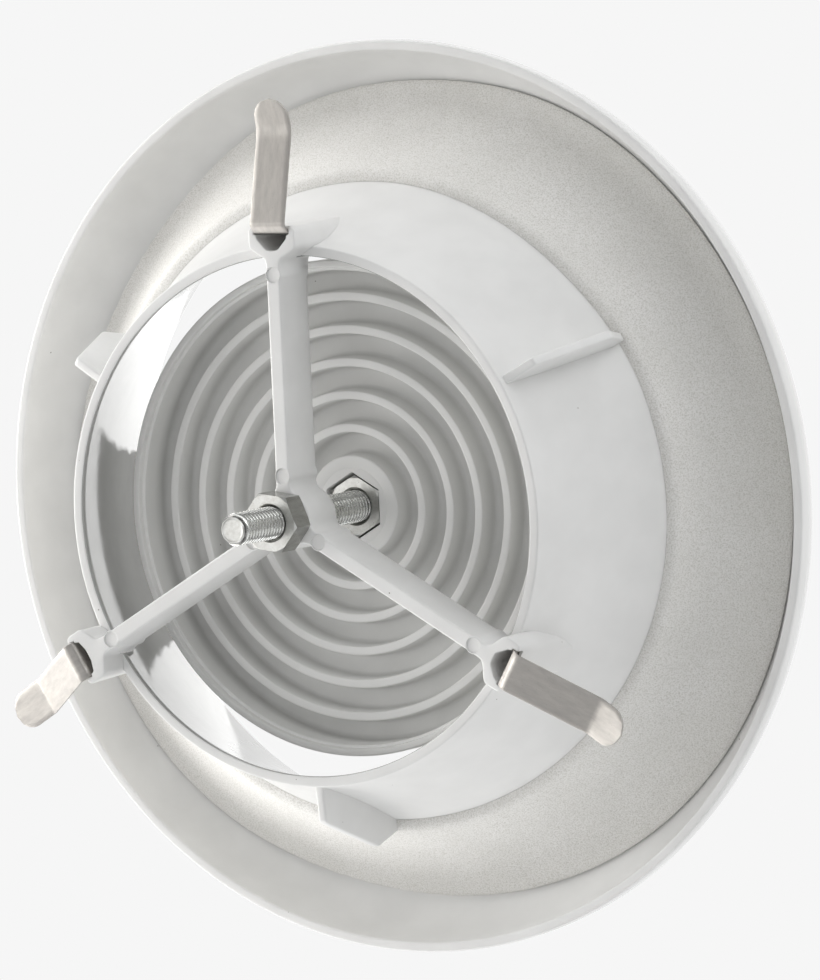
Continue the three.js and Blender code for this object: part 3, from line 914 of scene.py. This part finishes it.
def spring_clip(i):
    """One strip along its bent path, with a round end and softened edges."""
    path = spaced(clip_path(CLIP_SET[i], CLIP_TIPS[i], CLIP_TIP_BENDS[i]), 0.5)
    runs = [0.0]
    for a, b in zip(path, path[1:]):
        runs.append(runs[-1] + (b - a).length)
    total = runs[-1]
    half_t = CLIP_THICKNESS / 2
    across, edge = 8, 0.16
    points, uvs = [], []
    for j, (p, run) in enumerate(zip(path, runs)):
        ahead = (path[min(j + 1, len(path) - 1)] - path[max(j - 1, 0)]).normalized()
        normal = Vector((-ahead.y, ahead.x))
        short = max(CLIP_HALF - max(total - run, 0), 0)
        half = math.sqrt(max(CLIP_HALF ** 2 - short ** 2, 0.04))
        half += 0.035 * noise.noise(Vector((run * 0.9, i * 5.0, 1.0)))
        loop = []
        for k in range(across + 1):
            loop.append((-half + edge + (2 * half - 2 * edge) * k / across, half_t))
        loop += [(half - edge * 0.3, half_t * 0.72), (half, 0), (half - edge * 0.3, -half_t * 0.72)]
        for k in range(across + 1):
            loop.append((half - edge - (2 * half - 2 * edge) * k / across, -half_t))
        loop += [(-half + edge * 0.3, -half_t * 0.72), (-half, 0), (-half + edge * 0.3, half_t * 0.72)]
        count = len(loop)
        for w, t in loop:
            q = p + normal * t
            points.append((q.x, w, q.y))
            uvs.append((w * MM, run * MM))
    faces = [list(range(count)), list(range(len(points) - count, len(points)))]
    for j in range(len(path) - 1):
        for k in range(count):
            n = (k + 1) % count
            faces.append([j * count + k, j * count + n, (j + 1) * count + n, (j + 1) * count + k])
    piece = made(f"spring_clip_{i + 1}", points, faces)
    layer = piece.data.uv_layers.new(name="along")
    for loop in piece.data.loops:
        layer.data[loop.index].uv = uvs[loop.vertex_index]
    outward(piece)
    piece.data.transform(Matrix.Rotation(spoke_angle(i), 4, "Z"))
    return piece


for number in range(SPOKES):
    clip = spring_clip(number)
    finished(clip, None, [f"clip_foot_{number + 1}", f"clip_leaf_{number + 1}"], [SPRING], 40)
    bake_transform(clip)


# The studio.
CAMERA_PLACE = Vector((944.9, 162.7, 1561.4)) * MM
CAMERA_AIM = Vector((18.3, 4.2, 26.4)) * MM
CAMERA_UP = Vector((-0.0063, 0.9951, -0.0989))
CAMERA_LENS = 367.35
FLOOR_DROP = 0.6
PALE = 0.922  # brightness of the floor and the horizon
DIM = 0.22  # brightness of the sky above them
LIGHT_SIZE = 1.1
LIGHT_DISTANCE = 1.6
LIGHTS = [  # (degrees from +X, degrees above the horizon, watts)
    (45, 12, 6.2), (90, 12, 2.4), (135, 12, 6.4), (180, 12, 19.0), (225, 12, 8.5), (270, 12, 5.2),
    (315, 12, 1.4), (185, 52, 4.2), (315, 40, 1.6), (0, 89, 3.0),
]
WARM, COOL = (1.0, 0.985, 0.965), (0.98, 0.99, 1.0)
TABLE = [  # (name, glow, first and last degrees from +X, inner and outer radius)
    ("table_shade", 0.0, 174, 206, 50, 71),
    ("table_bright_left", 1.7, 114, 174, 40, 71),
    ("table_bright_right", 1.45, 206, 280, 40, 71),
    ("table_bright_middle", 1.4, 174, 206, 40, 50),
]
TABLE_DROP = 1.2  # below the lowest point of the valve


def make_camera():
    data = bpy.data.cameras.new("camera")
    data.lens = CAMERA_LENS
    data.sensor_width = 36.0
    data.clip_end = 50
    camera = bpy.data.objects.new("camera", data)
    bpy.context.collection.objects.link(camera)
    back = (CAMERA_PLACE - CAMERA_AIM).normalized()
    right = CAMERA_UP.cross(back).normalized()
    up = back.cross(right)
    camera.matrix_world = Matrix.Translation(CAMERA_PLACE) @ Matrix((right, up, back)).transposed().to_4x4()
    bpy.context.scene.camera = camera


def give_material(piece, **values):
    """Gives a piece of the studio one material with constant values."""
    n = Nodes(piece.name)
    n.set(**values)
    piece.data.materials.append(n.material)


def make_floor():
    """A large pale floor, lit from inside like a light table, far enough below to take no shadow."""
    half = 15.0 / MM
    corners = [(x * half, y * half, -FLOOR_DROP / MM) for x, y in ((-1, -1), (1, -1), (1, 1), (-1, 1))]
    floor = made("floor", corners, [[0, 1, 2, 3]])
    black, pale = (0, 0, 0, 1), (PALE, PALE, PALE, 1)
    give_material(floor, Base_Color=black, Specular_IOR_Level=0, Emission_Color=pale, Emission_Strength=1)


def make_world():
    """A pale band at the horizon, which the floor runs into, and a weak even light from above it."""
    world = bpy.data.worlds.new("studio")
    bpy.context.scene.world = world
    world.use_nodes = True
    tree = world.node_tree
    place = tree.nodes.new("ShaderNodeTexCoord")
    parts = tree.nodes.new("ShaderNodeSeparateXYZ")
    ramp = tree.nodes.new("ShaderNodeValToRGB")
    tree.links.new(place.outputs["Generated"], parts.inputs["Vector"])
    tree.links.new(parts.outputs["Z"], ramp.inputs["Fac"])
    tree.links.new(ramp.outputs["Color"], tree.nodes["Background"].inputs["Color"])
    band = ramp.color_ramp.elements
    band[0].position, band[0].color = 0.03, (PALE, PALE, PALE, 1)
    band[1].position, band[1].color = 0.12, (DIM, DIM, DIM, 1)


def make_lights():
    """Large soft discs of light round the valve."""
    for number, (azimuth, elevation, watts) in enumerate(LIGHTS):
        data = bpy.data.lights.new(f"soft_light_{number + 1}", "AREA")
        data.shape = "DISK"
        data.size = LIGHT_SIZE
        data.energy = watts
        data.color = WARM if 120 < azimuth < 240 else COOL
        light = bpy.data.objects.new(data.name, data)
        bpy.context.collection.objects.link(light)
        level = math.cos(math.radians(elevation))
        towards = Vector((
            math.cos(math.radians(azimuth)) * level, math.sin(math.radians(azimuth)) * level,
            math.sin(math.radians(elevation)),
        ))
        light.location = towards * LIGHT_DISTANCE
        light.rotation_euler = towards.to_track_quat("Z", "Y").to_euler()
        light.visible_camera = False


def make_table():
    """Stands for the table under the valve, part shaded and part bright.

    Only light and reflections meet it.
    """
    steps = 40
    for name, glow, first, last, inner, outer in TABLE:
        points = []
        for k in range(steps + 1):
            r = outer + (inner - outer) * k / steps
            ragged = 2.2 * noise.noise(Vector((1.6 * r, 3.0, 5.0)))
            for angle in (first + ragged, last + ragged):
                a = math.radians(angle)
                points.append((r * math.cos(a), r * math.sin(a), NOSE_Z - TABLE_DROP))
        card = made(name, points, [[2 * k, 2 * k + 1, 2 * k + 3, 2 * k + 2] for k in range(steps)])
        grey, white = (0.2, 0.2, 0.19, 1), (1, 1, 1, 1)
        give_material(card, Base_Color=grey, Roughness=0.9, Emission_Color=white, Emission_Strength=glow)
        card.visible_camera = False


make_camera()
make_floor()
make_world()
make_lights()
make_table()
bpy.context.scene.view_settings.view_transform = "Standard"
